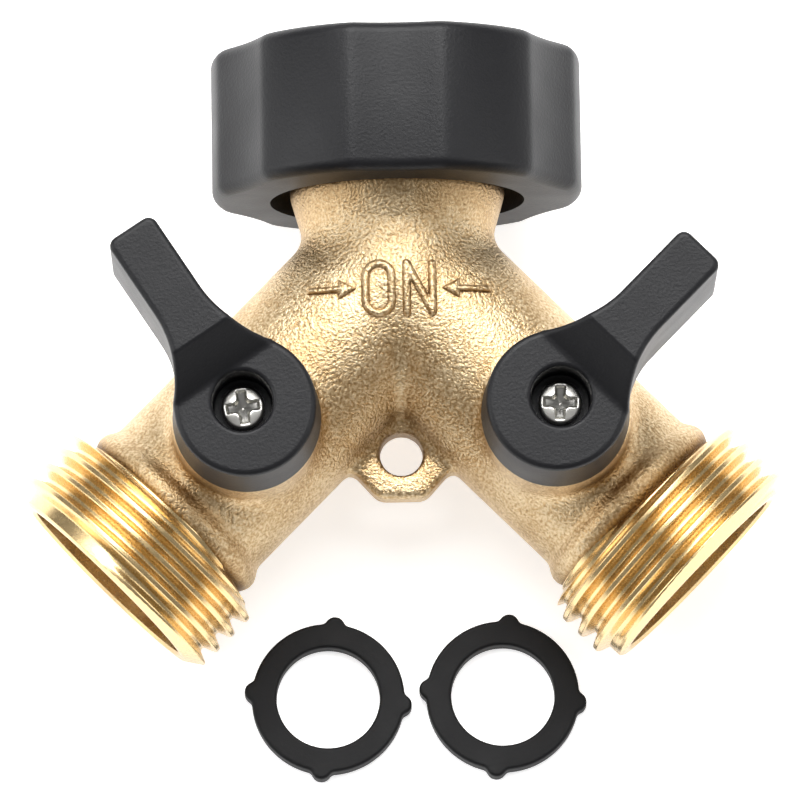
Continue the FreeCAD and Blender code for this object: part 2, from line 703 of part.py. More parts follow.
# ---------- the whole splitter ----------
brass_body()
inlet_tail()
nut_insert()
nut_grip()
part("inlet_washer", washer("inlet_seal", "inlet_washer_r", "inlet_washer_hole_r", "inlet_washer_thick",
                            "inlet_nub_r", "inlet_nub_half", "tail_flange_top"), INLET)
for side_name, side_sign, lever_turn in (("left", -1, "left_lever_turn"), ("right", 1, "right_lever_turn")):
    valve_pose = valve_frame(side_sign, size(lever_turn))
    seats_and_retainer(side_name, arm_frame(side_sign))
    valve_ball(side_name, valve_pose)
    valve_stem(side_name, valve_pose)
    stem_seals(side_name, valve_pose)
    lever(side_name, valve_pose)
    lever_screw(side_name, valve_pose)

LYING = lying_pose()
for item, pose in PARTS.values():
    item.Placement = LYING.multiply(pose).multiply(item.Placement)
for side_name in ("left", "right"):
    spare = washer(f"spare_{side_name}", "spare_r", "spare_hole_r", "spare_thick",
                   "spare_r+spare_nub_out", "spare_nub_half", "0")
    spot = Vector(size(f"spare_{side_name}_x"), size("spare_y"), 0)
    node = f"spare_washer_{side_name}"
    part(node, spare, Placement())
    spare.Placement = Placement(spot, Rotation(Vector(0, 0, 1), size("spare_turn")))
doc.recompute()

# the whole lies centred over the origin, on Z = 0
box = FreeCAD.BoundBox()
for item, pose in PARTS.values():
    box.add(item.Shape.optimalBoundingBox(False))
shift = Placement(Vector(-box.Center.x, -box.Center.y, -box.ZMin), Rotation())
for item, pose in PARTS.values():
    item.Placement = shift.multiply(item.Placement)
doc.recompute()

# ---------- checks and export ----------
for item in doc.Objects:
    if {"Invalid", "Error"} & set(item.State):
        raise RuntimeError(f"{item.Name} failed: {item.State}")
for node, (item, pose) in PARTS.items():
    if item.Shape.isNull() or not item.Shape.isValid():
        raise RuntimeError(f"{node} has no valid shape")

os.makedirs("parts", exist_ok=True)
for node, (item, pose) in PARTS.items():
    item.Shape.exportStep(f"parts/{node}.step")
    print(node, len(item.Shape.Solids), "solid", round(item.Shape.Volume, 1), "mm3")
print("tilt", round(math.degrees(LYING.Rotation.Angle), 3), "shift", shift.Base, "size", box)
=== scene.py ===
"""Looks of the brass hose splitter: cast body, cut threads, moulded nut and levers, rubber washers."""
import json
import math
import bmesh
import bpy
import numpy as np
from mathutils import Matrix, Vector


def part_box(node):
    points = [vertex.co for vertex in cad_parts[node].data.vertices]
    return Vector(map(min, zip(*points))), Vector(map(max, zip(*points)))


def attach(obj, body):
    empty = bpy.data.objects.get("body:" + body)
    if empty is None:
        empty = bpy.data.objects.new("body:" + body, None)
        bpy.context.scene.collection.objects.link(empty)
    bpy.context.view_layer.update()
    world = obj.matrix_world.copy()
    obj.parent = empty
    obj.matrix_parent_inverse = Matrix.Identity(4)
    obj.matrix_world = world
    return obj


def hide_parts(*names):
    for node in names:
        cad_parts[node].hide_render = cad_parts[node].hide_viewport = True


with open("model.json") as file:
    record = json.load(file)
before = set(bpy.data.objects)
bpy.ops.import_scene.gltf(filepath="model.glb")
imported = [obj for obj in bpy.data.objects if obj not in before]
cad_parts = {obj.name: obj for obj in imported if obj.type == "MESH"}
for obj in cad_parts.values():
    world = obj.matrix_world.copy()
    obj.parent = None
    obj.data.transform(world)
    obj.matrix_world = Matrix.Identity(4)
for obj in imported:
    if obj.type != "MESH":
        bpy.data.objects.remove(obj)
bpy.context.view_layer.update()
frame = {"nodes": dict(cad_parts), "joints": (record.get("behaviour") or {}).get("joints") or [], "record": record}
RECORD = frame["record"]
MM = 0.001

# ---------------------------------------------------------------- frames
JOINTS = {joint["name"]: joint for joint in frame["joints"]}
MOUNTS = {mount["name"]: mount for mount in RECORD["mounts"]}


def meeting_point(first, second):
    """Where the axes of two mounts meet."""
    p, a = Vector(first["pos_m"]), Vector(first["axis"]).normalized()
    q, b = Vector(second["pos_m"]), Vector(second["axis"]).normalized()
    across = a.cross(b)
    reach = (q - p).cross(b).dot(across) / across.dot(across)
    return p + a * reach


def frame_matrix(origin, x_axis, z_axis):
    """Turns millimetres in a local frame into metres in the row frame."""
    z_axis = z_axis.normalized()
    x_axis = (x_axis - z_axis * x_axis.dot(z_axis)).normalized()
    turn = Matrix((x_axis, z_axis.cross(x_axis), z_axis)).transposed().to_4x4()
    return Matrix.Translation(origin) @ turn @ Matrix.Scale(MM, 4)


JUNCTION = meeting_point(MOUNTS["inlet_thread"], MOUNTS["right_outlet_thread"])
INLET_AXIS = Vector(MOUNTS["inlet_thread"]["axis"]).normalized()
STEM_AXIS = Vector(JOINTS["right_lever_turn"]["axis"]).normalized()
BENCH = frame_matrix(JUNCTION, Vector((1, 0, 0)), STEM_AXIS)
SIDES = ("left", "right")
ARM_AXES = {side: Vector(MOUNTS[side + "_outlet_thread"]["axis"]).normalized() for side in SIDES}

# ---------------------------------------------------------------- sizes in millimetres
# arms, with distances measured from the junction
ARM_R = 10.25
ARM_LONG = 36.3
ARM_END = 44.3
BEAD_PLACE = 33.75
BEAD_RING_R = 9.3
BEAD_R = 1.8
STEM_PLACE = 23.0
BOSS_R = 7.5
BOSS_TOP = 17.2
BOSS_DRAFT = 0.03
# inlet neck
NECK_WAIST = 5.6
NECK_SHOULDER = 9.6
NECK_TOP_R = 11.4
NECK_TOP = 11.8
# hanging tab below the junction
TAB_PLACE = 15.0
TAB_HALF_WIDE = 5.0
TAB_HALF_LONG = 8.0
TAB_HALF_THICK = 2.0
TAB_CORNER = 2.5
TAB_CORNER_START = 20.2
TAB_CORNER_HIGH = 2.8
TAB_HOLE_PLACE = 18.3
TAB_HOLE_R = 2.27
# water ways and stem holes
NECK_WAY_R = 7.0
SPIGOT_R = 9.53
SPIGOT_START = 4.3
PAST_NECK = 13.0
WAY_R = 5.5
CAVITY_R = 8.75
CAVITY_START = 15.55
PAST_ARM = 38.0
STEM_HOLE_R = 4.05
PAST_BOSS = 18.0
FLANGE_HOLE_R = 5.05
FLANGE_HOLE_TOP = 11.08
# hose thread 3/4-11.5 and the outlet's mouth
THREAD_ROOT_R = 12.06
THREAD_CREST_R = 13.42
THREAD_PITCH = 2.209
MOUTH_R = 10.6
MOUTH_DEEP = 7.8
# swivel nut
NUT_BOTTOM = 9.1
NUT_TOP = 24.9
NUT_R = 19.65
# mesh steps
CAST_STEP = 0.4
MARK_STEP = 0.13
LEVER_STEP = 0.2
SCREW_STEP = 0.09
WASHER_STEP = 0.17


# ---------------------------------------------------------------- solid fields
def norm(*parts):
    return np.sqrt(sum(part * part for part in parts))


def blend_join(a, b, radius):
    """Union of two solids with a fillet of that radius between them."""
    return np.maximum(radius, np.minimum(a, b)) - norm(np.maximum(radius - a, 0), np.maximum(radius - b, 0))


def round_common(a, b, radius):
    """What two solids share, with the edge between them rounded."""
    return np.minimum(-radius, np.maximum(a, b)) + norm(np.maximum(radius + a, 0), np.maximum(radius + b, 0))


def rod(x, y, z, start, axis, radius, low, high):
    """A round bar from one distance to another along an axis."""
    dx, dy, dz = x - start[0], y - start[1], z - start[2]
    along = dx * axis[0] + dy * axis[1] + dz * axis[2]
    out = norm(dx - along * axis[0], dy - along * axis[1], dz - along * axis[2])
    return np.maximum(out - radius, np.abs(along - (low + high) / 2) - (high - low) / 2)


def hoop(x, y, z, axis, place, ring_radius, wire_radius):
    """A torus round an axis through the origin."""
    along = x * axis[0] + y * axis[1] + z * axis[2]
    out = norm(x - along * axis[0], y - along * axis[1], z - along * axis[2])
    return norm(out - ring_radius, along - place) - wire_radius


def slab(a, b, c, half_a, half_b, half_c, radius):
    """A rounded box centred on the origin of its coordinates."""
    qa, qb, qc = np.abs(a) - half_a + radius, np.abs(b) - half_b + radius, np.abs(c) - half_c + radius
    outside = norm(np.maximum(qa, 0), np.maximum(qb, 0), np.maximum(qc, 0))
    return outside + np.minimum(np.maximum(qa, np.maximum(qb, qc)), 0) - radius


# ---------------------------------------------------------------- meshes
def new_piece(name, verts, faces, matrix, material):
    """A smooth-shaded object with its place in its mesh, in metres."""
    mesh = bpy.data.meshes.new(name)
    mesh.from_pydata([tuple(v) for v in verts], [], [tuple(f) for f in faces])
    mesh.transform(matrix)
    mesh.polygons.foreach_set("use_smooth", [True] * len(mesh.polygons))
    mesh.update()
    item = bpy.data.objects.new(name, mesh)
    bpy.context.scene.collection.objects.link(item)
    mesh.materials.append(material)
    return item


def skin_of(field, low, high, step):
    """Vertices and quads of the surface where a field is zero (surface nets)."""
    axes = [np.arange(lo, hi + step, step) for lo, hi in zip(low, high)]
    grid = np.meshgrid(*axes, indexing="ij")
    value = field(*grid)
    inside = value < 0
    cells = tuple(count - 1 for count in value.shape)
    total = np.zeros(cells + (3,))
    count = np.zeros(cells)
    crossings = []
    for axis in range(3):
        u, v = (axis + 1) % 3, (axis + 2) % 3
        near = np.moveaxis(value, (axis, u, v), (0, 1, 2))
        near_in = np.moveaxis(inside, (axis, u, v), (0, 1, 2))
        cross = near_in[:-1] != near_in[1:]
        gap = np.where(cross, near[:-1] - near[1:], 1.0)
        part = np.where(cross, near[:-1] / gap, 0.0)
        sums = np.moveaxis(total, (axis, u, v, 3), (0, 1, 2, 3))
        counts = np.moveaxis(count, (axis, u, v), (0, 1, 2))
        for du in (0, 1):
            for dv in (0, 1):
                hit = cross[:, du:du + counts.shape[1], dv:dv + counts.shape[2]]
                sums[..., axis] += part[:, du:du + counts.shape[1], dv:dv + counts.shape[2]]
                sums[..., u] += hit * du
                sums[..., v] += hit * dv
                counts += hit
        crossings.append((cross, near_in))
    active = count > 0
    index = np.full(cells, -1)
    index[active] = np.arange(active.sum())
    where = np.argwhere(active)
    verts = np.array(low) + (where + total[active] / count[active][:, None]) * step
    faces = []
    for axis, (cross, near_in) in enumerate(crossings):
        u, v = (axis + 1) % 3, (axis + 2) % 3
        ids = np.moveaxis(index, (axis, u, v), (0, 1, 2))
        i, j, k = np.nonzero(cross[:, 1:-1, 1:-1])
        ring = [ids[i, j, k], ids[i, j + 1, k], ids[i, j + 1, k + 1], ids[i, j, k + 1]]
        quads = np.stack(ring, 1)
        flip = ~near_in[i, j + 1, k + 1]
        quads[flip] = quads[flip][:, ::-1]
        faces.append(quads)
    return verts, np.concatenate(faces)


def matrix_of(node_axis, x_axis, place_mm=0.0):
    """Frame whose Z runs along an axis from the junction, starting that many millimetres along it."""
    return frame_matrix(JUNCTION + node_axis * place_mm * MM, x_axis, node_axis)


# ---------------------------------------------------------------- node trees
def add_node(tree, kind, links=None, **settings):
    """A node with its settings; links gives each input a number, a colour or another node's output."""
    node = tree.nodes.new(kind)
    for key, value in settings.items():
        setattr(node, key, value)
    for key, value in (links or {}).items():
        socket = node.inputs[key]
        if isinstance(value, bpy.types.NodeSocket):
            tree.links.new(value, socket)
        else:
            socket.default_value = value
    return node


class Quantity:
    """A number inside a node tree: arithmetic on it adds Math nodes."""

    def __init__(self, tree, socket):
        self.tree = tree
        self.socket = socket

    def math(self, operation, *others):
        values = [self] + list(others)
        links = {i: v.socket if isinstance(v, Quantity) else v for i, v in enumerate(values)}
        node = add_node(self.tree, "ShaderNodeMath", links, operation=operation)
        return Quantity(self.tree, node.outputs[0])

    def __add__(self, other):
        return self.math("ADD", other)

    def __sub__(self, other):
        return self.math("SUBTRACT", other)

    def __mul__(self, other):
        return self.math("MULTIPLY", other)

    def __truediv__(self, other):
        return self.math("DIVIDE", other)

    def past(self, limit):
        """1 where the number is over a limit, 0 elsewhere."""
        return self.math("GREATER_THAN", limit)

    def within_unit(self):
        """The number kept between 0 and 1."""
        return self.math("MAXIMUM", 0.0).math("MINIMUM", 1.0)


SEAM_GAP = 0.001
SHARP_ANGLE = math.radians(34)


def lathe_tree(name, sizes, rows, path):
    """A geometry tree that wraps a grid round Z: path gives (radius, height) from row, angle and sizes."""
    tree = bpy.data.node_groups.new(name, "GeometryNodeTree")
    tree.interface.new_socket("Geometry", in_out="OUTPUT", socket_type="NodeSocketGeometry")
    for key, value in sizes.items():
        socket = tree.interface.new_socket(key, in_out="INPUT", socket_type="NodeSocketFloat")
        socket.default_value = value
    facets = tree.interface.new_socket("Facets", in_out="INPUT", socket_type="NodeSocketInt")
    facets.default_value = 240
    finish = tree.interface.new_socket("Finish", in_out="INPUT", socket_type="NodeSocketMaterial")
    entry = add_node(tree, "NodeGroupInput")
    given = {key: Quantity(tree, entry.outputs[key]) for key in sizes}
    wide = Quantity(tree, entry.outputs["Facets"]) + 1.0
    grid = add_node(tree, "GeometryNodeMeshGrid",
                    {"Size X": 1.0, "Size Y": 1.0, "Vertices X": wide.socket, "Vertices Y": rows})
    spot = add_node(tree, "GeometryNodeInputPosition")
    split = add_node(tree, "ShaderNodeSeparateXYZ", {0: spot.outputs[0]})
    turn = Quantity(tree, split.outputs[0]) + 0.5
    row = ((Quantity(tree, split.outputs[1]) + 0.5) * float(rows - 1)).math("ROUND")
    radius, height = path(given, row, turn)
    angle = turn * math.tau
    x, y = radius * angle.math("COSINE"), radius * angle.math("SINE")
    place = add_node(tree, "ShaderNodeCombineXYZ", {0: x.socket, 1: y.socket, 2: height.socket})
    wrapped = add_node(tree, "GeometryNodeSetPosition",
                       {"Geometry": grid.outputs["Mesh"], "Position": place.outputs[0]})
    closed = add_node(tree, "GeometryNodeMergeByDistance",
                      {"Geometry": wrapped.outputs[0], "Distance": SEAM_GAP})
    bend = add_node(tree, "GeometryNodeInputMeshEdgeAngle")
    sharp = Quantity(tree, bend.outputs["Unsigned Angle"]).past(SHARP_ANGLE)
    soft = add_node(tree, "GeometryNodeSetShadeSmooth", {"Geometry": closed.outputs[0]}, domain="FACE")
    edged = add_node(tree, "GeometryNodeSetShadeSmooth",
                     {"Geometry": soft.outputs[0], "Selection": sharp.socket, "Shade Smooth": False},
                     domain="EDGE")
    real = add_node(tree, "GeometryNodeRealizeInstances", {"Geometry": edged.outputs[0]})
    coated = add_node(tree, "GeometryNodeSetMaterial",
                      {"Geometry": real.outputs[0], "Material": entry.outputs["Finish"]})
    add_node(tree, "NodeGroupOutput", {"Geometry": coated.outputs[0]})
    return tree


def grown(name, tree, values, matrix):
    """The plain mesh that a geometry tree makes from these values, put in place."""
    maker = bpy.data.objects.new(name + "_maker", bpy.data.meshes.new(name + "_maker"))
    bpy.context.scene.collection.objects.link(maker)
    modifier = maker.modifiers.new("Shape", "NODES")
    modifier.node_group = tree
    for socket in tree.interface.items_tree:
        if socket.in_out == "INPUT" and socket.name in values:
            modifier[socket.identifier] = values[socket.name]
    shape = maker.evaluated_get(bpy.context.evaluated_depsgraph_get())
    mesh = bpy.data.meshes.new_from_object(shape)
    bpy.data.objects.remove(maker)
    mesh.name = name
    mesh.transform(matrix)
    solid = bmesh.new()
    solid.from_mesh(mesh)
    bmesh.ops.recalc_face_normals(solid, faces=solid.faces[:])
    solid.to_mesh(mesh)
    solid.free()
    item = bpy.data.objects.new(name, mesh)
    bpy.context.scene.collection.objects.link(item)
    return item


def risen(row, start, *changes):
    """A number that starts at one value and takes up one change after each row."""
    total = start
    for index, change in enumerate(changes):
        total = total + (row - float(index)).within_unit() * change
    return total


# ---------------------------------------------------------------- finishes
def linear(hex_colour):
    """An sRGB hex colour as linear RGBA."""
    parts = [int(hex_colour[i:i + 2], 16) / 255 for i in (0, 2, 4)]
    return [p / 12.92 if p <= 0.04045 else ((p + 0.055) / 1.055) ** 2.4 for p in parts] + [1.0]


def new_finish(name, colour, **inputs):
    """A node material and its shader, with what is the same all over set on the shader."""
    material = bpy.data.materials.new(name)
    material.use_nodes = True
    tree = material.node_tree
    shader = tree.nodes["Principled BSDF"]
    shader.inputs["Base Color"].default_value = linear(colour)
    for key, value in inputs.items():
        shader.inputs[key.replace("_", " ")].default_value = value
    return material, tree, shader


def per_mm(period):
    """Texture scale in Object coordinates for a pattern that repeats every so many millimetres."""
    return 1000.0 / period


def sand_cast_brass():
    """Yellow brass from a sand mould, tumbled: sharp fine grain, with painted shade in dark brown in its corners,
    under the nut and round the bosses.
    """
    material, tree, shader = new_finish("Sand-cast brass", "CDB084", Metallic=1.0, Roughness=0.45)
    spot = add_node(tree, "ShaderNodeTexCoord").outputs["Object"]
    # slow changes of tone over 5 mm and sand grain of 0.3 mm, its real size
    tone = add_node(tree, "ShaderNodeTexNoise", {"Vector": spot, "Scale": per_mm(5.0), "Detail": 3.0})
    grain = add_node(tree, "ShaderNodeTexNoise", {"Vector": spot, "Scale": per_mm(0.3), "Detail": 2.0})
    peaks = Quantity(tree, grain.outputs[0]) * 0.8 + Quantity(tree, tone.outputs[0]) * 0.3
    # painted shade: occlusion darkens the colour, narrowly in sharp corners such as round the letters, and broadly
    # under the nut and round the bosses
    for reach_mm, darkest, gain in ((0.9, 0.2, 1.7), (7.0, 0.1, 1.35)):
        open_sky = add_node(tree, "ShaderNodeAmbientOcclusion", {"Distance": reach_mm * MM}, samples=6)
        peaks = peaks * ((Quantity(tree, open_sky.outputs["AO"]) - darkest) * gain).within_unit()
    colour = add_node(tree, "ShaderNodeValToRGB", {"Fac": peaks.socket})
    # the dark brown end of the ramp is reached mostly where the painted shade darkens the grain
    shade_dark, bright = colour.color_ramp.elements
    shade_dark.position, bright.position = 0.12, 0.68
    shade_dark.color = linear("5A4128")
    bright.color = linear("E6D2AE")
    plain = colour.color_ramp.elements.new(0.46)
    plain.color = linear("BD9E72")
    tree.links.new(colour.outputs[0], shader.inputs["Base Color"])
    rough = add_node(tree, "ShaderNodeMapRange",
                     {"Value": grain.outputs[0], "From Min": 0.3, "From Max": 0.7,
                      "To Min": 0.34, "To Max": 0.54})
    tree.links.new(rough.outputs[0], shader.inputs["Roughness"])
    skin = add_node(tree, "ShaderNodeBump",
                    {"Height": grain.outputs[0], "Strength": 1.0, "Distance": 0.15 * MM})
    tree.links.new(skin.outputs[0], shader.inputs["Normal"])
    return material


def bright_metal(name, colour, roughness):
    """Metal cut or plated bright: clean, with the faint waves that the tool leaves every 0.8 mm."""
    material, tree, shader = new_finish(name, colour, Metallic=1.0, Roughness=roughness)
    spot = add_node(tree, "ShaderNodeTexCoord").outputs["Object"]
    waves = add_node(tree, "ShaderNodeTexNoise", {"Vector": spot, "Scale": per_mm(0.8), "Detail": 2.0})
    rough = add_node(tree, "ShaderNodeMapRange",
                     {"Value": waves.outputs[0], "To Min": roughness * 0.75, "To Max": roughness * 1.3})
    tree.links.new(rough.outputs[0], shader.inputs["Roughness"])
    bump = add_node(tree, "ShaderNodeBump",
                    {"Height": waves.outputs[0], "Strength": 0.3, "Distance": 0.01 * MM})
    tree.links.new(bump.outputs[0], shader.inputs["Normal"])
    return material


def moulded(name, colour, roughness, grain_mm, depth_mm, sheen=0.5):
    """A moulded polymer: one dark or pale colour, soft gloss and the fine grain of its mould."""
    material, tree, shader = new_finish(name, colour, Roughness=roughness, Specular_IOR_Level=sheen)
    spot = add_node(tree, "ShaderNodeTexCoord").outputs["Object"]
    grain = add_node(tree, "ShaderNodeTexNoise", {"Vector": spot, "Scale": per_mm(grain_mm), "Detail": 3.0})
    cloud = add_node(tree, "ShaderNodeTexNoise", {"Vector": spot, "Scale": per_mm(6.0), "Detail": 2.0})
    rough = add_node(tree, "ShaderNodeMapRange",
                     {"Value": cloud.outputs[0], "To Min": roughness - 0.08, "To Max": roughness + 0.08})
    tree.links.new(rough.outputs[0], shader.inputs["Roughness"])
    bump = add_node(tree, "ShaderNodeBump",
                    {"Height": grain.outputs[0], "Strength": 0.5, "Distance": depth_mm * MM})
    tree.links.new(bump.outputs[0], shader.inputs["Normal"])
    return material


CAST = sand_cast_brass()
# brass threads cut after casting: pale gold with long bright lines along each crest
CUT = bright_metal("Lathe-cut brass", "E3C692", 0.26)
# turned parts inside: the same metal, a little deeper in colour and softer in gloss
TURNED = bright_metal("Turned brass", "DDB96C", 0.28)
# chrome-plated balls: neutral and almost mirror bright
CHROME = bright_metal("Chrome-plated brass", "DCDEDF", 0.1)
# clear-passivated zinc on the screws: light grey with bright edges round the cross
ZINC = bright_metal("Zinc-plated steel", "DCDAD4", 0.3)
# nylon with short glass fibre, from a spark-eroded mould: charcoal with a satin, very fine grain
NYLON = moulded("Moulded black nylon", "101013", 0.46, grain_mm=0.3, depth_mm=0.07, sheen=0.3)
# nitrile rubber from a compression mould: matt near-black with a slight bloom
RUBBER = moulded("Moulded black rubber", "0A0A0C", 0.55, grain_mm=0.5, depth_mm=0.05, sheen=0.2)
# sintered and skived PTFE: waxy white
PTFE = moulded("Skived white PTFE", "F0F0EC", 0.4, grain_mm=0.8, depth_mm=0.01)


# ---------------------------------------------------------------- casting
ORIGIN = np.zeros(3)
UP_INLET = np.array([0.0, 1.0, 0.0])
UP_STEM = np.array([0.0, 0.0, 1.0])


def arm_point(side, along):
    """Bench place on an arm's axis."""
    half = math.sqrt(0.5)
    return np.array([along * half * (-1 if side == "left" else 1), -along * half, 0.0])


def neck_field(x, y, z):
    """Neck up to the nut, flaring just under it."""
    out = norm(x, z) - np.interp(y, [0.0, NECK_WAIST, NECK_SHOULDER], [ARM_R, ARM_R, NECK_TOP_R])
    return round_common(out, np.abs(y - NECK_TOP / 2) - NECK_TOP / 2, radius=0.5)


def arm_field(x, y, z, side):
    """One arm with its collar bead."""
    axis = arm_point(side, 1.0)
    arm = rod(x, y, z, ORIGIN, axis, ARM_R, 0.0, ARM_LONG)
    return blend_join(arm, hoop(x, y, z, axis, BEAD_PLACE, BEAD_RING_R, BEAD_R), radius=0.5)


def boss_field(x, y, z, side):
    """Round boss that carries a valve stem, a little wider at its foot."""
    spot = arm_point(side, STEM_PLACE)
    out = norm(x - spot[0], y - spot[1]) - BOSS_R - BOSS_DRAFT * (BOSS_TOP - z)
    return round_common(out, np.abs(z - BOSS_TOP / 2) - BOSS_TOP / 2, radius=0.4)


def tab_field(x, y, z):
    """Hanging tab between the arms, with its lower corners cut off."""
    corner = TAB_CORNER * np.clip((-TAB_CORNER_START - y) / TAB_CORNER_HIGH, 0, 1)
    return slab(x, y + TAB_PLACE, z, TAB_HALF_WIDE - corner, TAB_HALF_LONG, TAB_HALF_THICK, radius=0.6)


def skin_field(x, y, z):
    """Outside of the casting."""
    solid = blend_join(neck_field(x, y, z), norm(x, y, z) - ARM_R, radius=0.4)
    for side in SIDES:
        solid = blend_join(solid, arm_field(x, y, z, side), radius=0.8)
    solid = blend_join(solid, tab_field(x, y, z), radius=1.2)
    for side in SIDES:
        solid = blend_join(solid, boss_field(x, y, z, side), radius=1.3)
    return solid


def ways_field(x, y, z):
    """Everything that is hollow in the casting."""
    hollow = norm(x, y, z) - NECK_WAY_R
    hollow = np.minimum(hollow, rod(x, y, z, ORIGIN, UP_INLET, NECK_WAY_R, 0.0, PAST_NECK))
    hollow = np.minimum(hollow, rod(x, y, z, ORIGIN, UP_INLET, SPIGOT_R, SPIGOT_START, PAST_NECK))
    for side in SIDES:
        axis = arm_point(side, 1.0)
        spot = arm_point(side, STEM_PLACE)
        for radius, low in ((WAY_R, 0.0), (CAVITY_R + 0.05, CAVITY_START)):
            hollow = np.minimum(hollow, rod(x, y, z, ORIGIN, axis, radius, low, PAST_ARM))
        for radius, high in ((STEM_HOLE_R, PAST_BOSS), (FLANGE_HOLE_R, FLANGE_HOLE_TOP)):
            hollow = np.minimum(hollow, rod(x, y, z, spot, UP_STEM, radius, 0.0, high))
    flare = 0.25 * np.maximum(np.abs(z) - 1.6, 0)
    hole = np.maximum(norm(x, y + TAB_HOLE_PLACE) - TAB_HOLE_R - flare, np.abs(z) - 3.0)
    return np.minimum(hollow, hole)


def casting():
    """Body of the splitter from one sand casting, with its water ways drilled."""
    def field(x, y, z):
        return round_common(skin_field(x, y, z), -ways_field(x, y, z), radius=0.15)
    verts, faces = skin_of(field, (-34.6, -34.6, -11.6), (34.6, 12.4, 17.8), CAST_STEP)
    body = new_piece("cast_body", verts, faces, BENCH, CAST)
    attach(body, "splitter_body")
    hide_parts("brass_body")


MARK_MIDDLE = -1.95
MARK_HALF_HIGH = 3.05
MARK_RISE = 0.5
PEN_HALF = 0.45
O_MIDDLE = -2.15
O_BEND_R = 1.37
O_HALF_STRAIGHT = 1.25
N_LEFT = 0.8
N_RIGHT = 3.5
ARROW_TIP = 4.4
ARROW_BARB = 6.4
SHAFT_MIDDLE = 7.6
SHAFT_HALF_LONG = 2.1
SHAFT_HALF_WIDE = 0.38


def stroke(x, y, ax, ay, bx, by, half):
    """Distance to a straight stroke with square-ish ends."""
    dx, dy = bx - ax, by - ay
    part = np.clip(((x - ax) * dx + (y - ay) * dy) / (dx * dx + dy * dy), 0, 1)
    return norm(x - ax - part * dx, y - ay - part * dy) - half


def marks_field(x, y, z):
    """Raised ON between two arrows, cast as one with the skin."""
    v = y - MARK_MIDDLE
    bend = norm(x - O_MIDDLE, np.maximum(np.abs(v) - O_HALF_STRAIGHT, 0)) - O_BEND_R
    flat = np.abs(bend) - PEN_HALF
    low, high = MARK_MIDDLE - MARK_HALF_HIGH + PEN_HALF, MARK_MIDDLE + MARK_HALF_HIGH - PEN_HALF
    strokes_of_n = ((N_LEFT, low, N_LEFT, high), (N_LEFT, high, N_RIGHT, low), (N_RIGHT, low, N_RIGHT, high))
    for ax, ay, bx, by in strokes_of_n:
        flat = np.minimum(flat, stroke(x, y, ax, ay, bx, by, PEN_HALF))
    side = np.abs(x)
    head = np.maximum(np.abs(v) * 0.87 - (side - ARROW_TIP) * 0.5, side - ARROW_BARB)
    shaft = np.maximum(np.abs(v) - SHAFT_HALF_WIDE, np.abs(side - SHAFT_MIDDLE) - SHAFT_HALF_LONG)
    flat = np.minimum(flat, np.minimum(head, shaft))
    skin = skin_field(x, y, z)
    draft = flat + 0.35 * np.clip(skin, -0.3, 0.6)
    return np.maximum(round_common(draft, skin - MARK_RISE, radius=0.3), -skin - MARK_RISE)


def raised_marks():
    """The marking, a little sunk into the skin."""
    verts, faces = skin_of(marks_field, (-10.4, -5.8, 5.0), (10.4, 1.9, 11.4), MARK_STEP)
    marks = new_piece("raised_marks", verts, faces, BENCH, CAST)
    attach(marks, "splitter_body")
    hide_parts("brass_body")


# ---------------------------------------------------------------- outlet threads
THREAD_ROWS = 210
# where a crest passes the top of each arm, from the junction
THREAD_PHASE = {"left": 37.208, "right": 36.75}
RUN_IN_LONG = 1.1
RUN_OUT_LONG = 0.6
NECK_STEP = 0.5
MOUTH_LIP = 0.3


def thread_path(given, row, turn):
    """Helical thread outside on most rows, then six for the end face, the mouth, the bore and back."""
    outer = float(THREAD_ROWS)
    reach = given["End"] - given["Start"]
    later = row - outer
    s = given["Start"] + ((row / outer).within_unit() - later.past(5.5)) * reach
    phase = (s - given["Phase"]) / given["Pitch"] - turn
    off = (phase - phase.math("ROUND")) * given["Pitch"]
    crest = s - off
    height = ((off.math("ABSOLUTE") * -1.0 + given["Half Foot"]) / given["Flank"]).within_unit()
    height = height * height * (height * -2.0 + 3.0)
    run_in = ((crest - given["Run In"]) / RUN_IN_LONG).within_unit()
    run_out = ((given["Run Out"] - crest) / RUN_OUT_LONG).within_unit()
    root = given["Neck Radius"] + ((s - given["Start"] - NECK_STEP) / NECK_STEP).within_unit() * (
        given["Root Radius"] - given["Neck Radius"])
    cut = root + height * run_in * run_out * (given["Crest Radius"] - given["Root Radius"])
    # the end's chamfer
    cut = cut.math("MINIMUM", given["Root Radius"] - 0.35 + (given["End"] - s) * 1.5)
    inside = later.past(0.5) * (later * -1.0).past(-5.5)
    within = risen(later - 1.0, given["Mouth Radius"] + MOUTH_LIP, -MOUTH_LIP)
    within = within - later.past(3.5) * (given["Mouth Radius"] - given["Bore Radius"])
    radius = cut * (inside * -1.0 + 1.0) + within * inside
    down = later.past(1.5) * MOUTH_LIP + later.past(2.5) * (given["Mouth Deep"] - MOUTH_LIP)
    down = down + later.past(4.5) * (reach - given["Mouth Deep"])
    return radius, s - down * inside


def outlet_threads():
    """Male hose threads, 3/4-11.5, cut on the two outlets after casting."""
    sizes = {"Start": 34.6, "End": ARM_END, "Pitch": THREAD_PITCH, "Phase": THREAD_PHASE["left"],
             "Neck Radius": ARM_R - 0.05, "Root Radius": THREAD_ROOT_R, "Crest Radius": THREAD_CREST_R - 0.02,
             "Half Foot": 0.98, "Flank": 0.8, "Run In": 34.3, "Run Out": 43.9,
             "Mouth Radius": MOUTH_R, "Mouth Deep": MOUTH_DEEP, "Bore Radius": CAVITY_R}
    tree = lathe_tree("Outlet thread", sizes, THREAD_ROWS + 7, thread_path)
    for side in SIDES:
        matrix = matrix_of(ARM_AXES[side], STEM_AXIS)
        values = {"Phase": THREAD_PHASE[side], "Facets": 300, "Finish": CUT}
        thread = grown(side + "_outlet_thread", tree, values, matrix)
        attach(thread, "splitter_body")
        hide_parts("brass_body")


# ---------------------------------------------------------------- swivel nut
FLUTES = 6
NUT_ROWS = 21
KEY_SLOT_DEEP = 0.8
KEY_SLOT_START = 1.25


